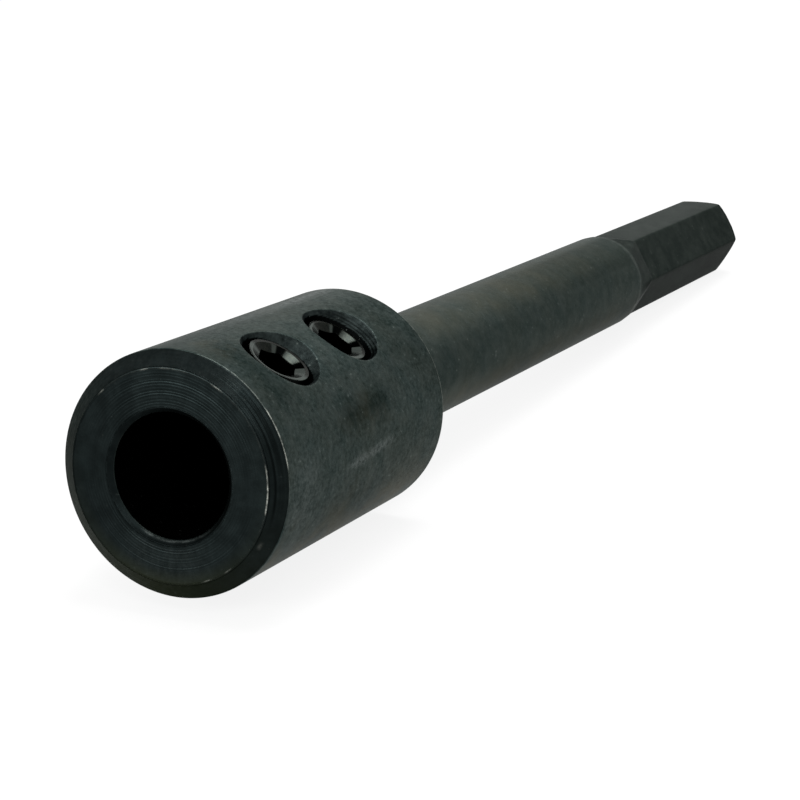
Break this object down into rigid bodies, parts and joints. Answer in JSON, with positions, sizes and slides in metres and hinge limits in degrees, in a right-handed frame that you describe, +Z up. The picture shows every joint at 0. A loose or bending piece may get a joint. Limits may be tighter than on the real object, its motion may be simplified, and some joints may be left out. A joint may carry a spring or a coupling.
{
  "type": "drill bit extension",
  "caption": "Straight bit extension: a collar with a blind bore and radial set screws, on a long round shank that ends in a hex drive.",
  "frame": {"origin": "centre of the bore's mouth, in the plane of the collar's front face", "axes": "+X runs from the bore's mouth towards the hex drive, level with the floor; the tool's own axis dips 2.93 degrees below it, because the tool lies on its collar's rear rim and the end of one hex flat; +Z up; the set screws lean 30 degrees from +Z towards -Y"},
  "size_m": [0.1797, 0.0254, 0.0273],
  "materials": {
    "blackened_holder": "turned steel, black oxide",
    "blackened_screw": "alloy steel, black oxide"
  },
  "bodies": {
    "holder": {"extension_body": "blackened_holder"},
    "front_screw": {"front_set_screw": "blackened_screw"},
    "rear_screw": {"rear_set_screw": "blackened_screw"}
  },
  "joints": [
    {"name": "front_screw_travel", "type": "slide", "parent": "holder", "child": "front_screw", "axis": [0.0442, -0.5, 0.8649], "range_m": [-0.00282, 0.00282]},
    {"name": "rear_screw_travel", "type": "slide", "parent": "holder", "child": "rear_screw", "axis": [0.0442, -0.5, 0.8649], "range_m": [-0.00282, 0.00282]}
  ]
}
